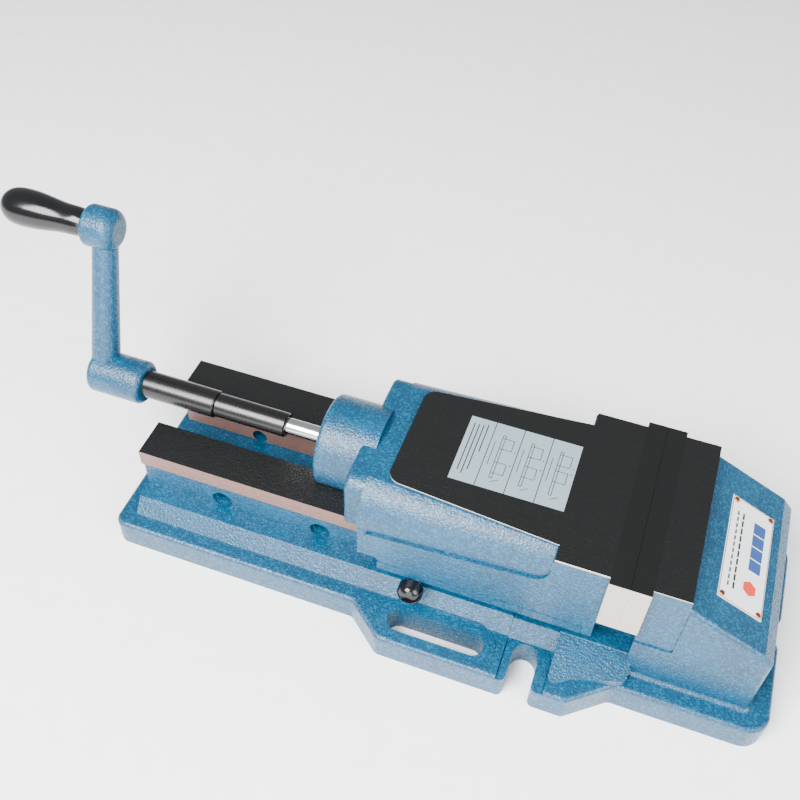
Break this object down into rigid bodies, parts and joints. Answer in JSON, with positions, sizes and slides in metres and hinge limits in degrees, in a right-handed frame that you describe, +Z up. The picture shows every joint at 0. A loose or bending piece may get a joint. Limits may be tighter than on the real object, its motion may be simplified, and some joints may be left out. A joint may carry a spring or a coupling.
{
  "type": "machine vise",
  "caption": "Machine vise on a slotted cast base, with a fixed jaw, a sliding jaw worked by a hydraulically boosted screw and a cranked handle, and a locking pin that sets the opening.",
  "frame": {"origin": "on the table plane under the line where the closed jaws meet, in the middle of the width", "axes": "+X from the crank towards the fixed jaw, +Z up, -Y towards the side with the locking pin's knob"},
  "size_m": [0.6979, 0.236, 0.2495],
  "materials": {
    "blue_paint": "hammer-textured enamel over iron castings, with ground faces left bare",
    "hardened_steel": "ground and hardened",
    "bright_steel": "bright turned",
    "black_steel": "black oxide, oiled",
    "spring_steel": "spring wire",
    "bronze": "cast bronze, bored",
    "rivet_copper": "copper-plated rivets",
    "seal_rubber": "moulded",
    "black_plastic": "moulded, glossy",
    "nameplate_aluminium": "printed white, thin dark border",
    "label_film": "printed film"
  },
  "bodies": {
    "base": {"base_casting": "blue_paint", "fixed_jaw_plate": "hardened_steel", "fixed_plate_screws": "black_steel", "nameplate": "nameplate_aluminium", "nameplate_rivets": "rivet_copper", "nut_block": "hardened_steel", "spindle_nut": "bronze", "detent_ball": "bright_steel", "detent_spring": "spring_steel", "detent_plug": "black_steel"},
    "pin": {"locking_pin": "bright_steel", "pin_knob": "black_plastic"},
    "jaw": {"movable_jaw": "blue_paint", "movable_jaw_plate": "hardened_steel", "movable_plate_screws": "black_steel", "keeper_near": "blue_paint", "keeper_far": "blue_paint", "keeper_screws": "black_steel", "rear_cover": "blue_paint", "cover_screws": "black_steel", "nose_cap": "black_steel", "rod_wiper": "seal_rubber", "screw_bush": "bronze", "thrust_bearing": "bright_steel", "thrust_pad": "hardened_steel", "instruction_label": "label_film"},
    "screw": {"lead_screw": "bright_steel", "screw_locknut": "bright_steel", "oil_plug": "black_steel", "ram_gland": "bright_steel", "ram_springs": "spring_steel"},
    "ram": {"ram": "bright_steel", "ram_seal": "seal_rubber"},
    "plunger": {"plunger": "bright_steel", "plunger_seal": "seal_rubber"},
    "drive": {"drive_rod": "bright_steel", "clutch_sleeve": "black_steel", "coupling_pins": "black_steel", "clutch_spring": "spring_steel", "drive_shaft": "black_steel", "crank_arm": "blue_paint", "crank_set_screw": "black_steel", "grip_bolt": "bright_steel", "grip_washer": "bright_steel"},
    "grip": {"crank_grip": "black_plastic"}
  },
  "joints": [
    {"name": "pin_pull", "type": "slide", "parent": "base", "child": "pin", "axis": [0, -1, 0], "range_m": [0, 0.076]},
    {"name": "jaw_slide", "type": "slide", "parent": "base", "child": "jaw", "axis": [-1, 0, 0], "range_m": [0, 0.09]},
    {"name": "screw_turn", "type": "hinge", "parent": "jaw", "child": "screw", "pos_m": [0, 0, 0.107], "axis": [-1, 0, 0], "range_deg": [0, 5400]},
    {"name": "boost_turn", "type": "hinge", "parent": "screw", "child": "drive", "pos_m": [0, 0, 0.107], "axis": [1, 0, 0], "range_deg": [0, 270]},
    {"name": "plunger_push", "type": "slide", "parent": "screw", "child": "plunger", "axis": [1, 0, 0], "range_m": [0, 0.0045]},
    {"name": "ram_push", "type": "slide", "parent": "screw", "child": "ram", "axis": [1, 0, 0], "range_m": [0, 0.00095858]},
    {"name": "grip_spin", "type": "hinge", "parent": "drive", "child": "grip", "pos_m": [-0.5, 0.04401, 0.23198], "axis": [-1, 0, 0], "continuous": true}
  ],
  "couplings": [
    {"joint": "screw_turn", "follows": "jaw_slide", "rad_per_m": 1047.2},
    {"joint": "plunger_push", "follows": "boost_turn", "m_per_rad": 0.00095493},
    {"joint": "ram_push", "follows": "boost_turn", "m_per_rad": 0.00020342}
  ]
}
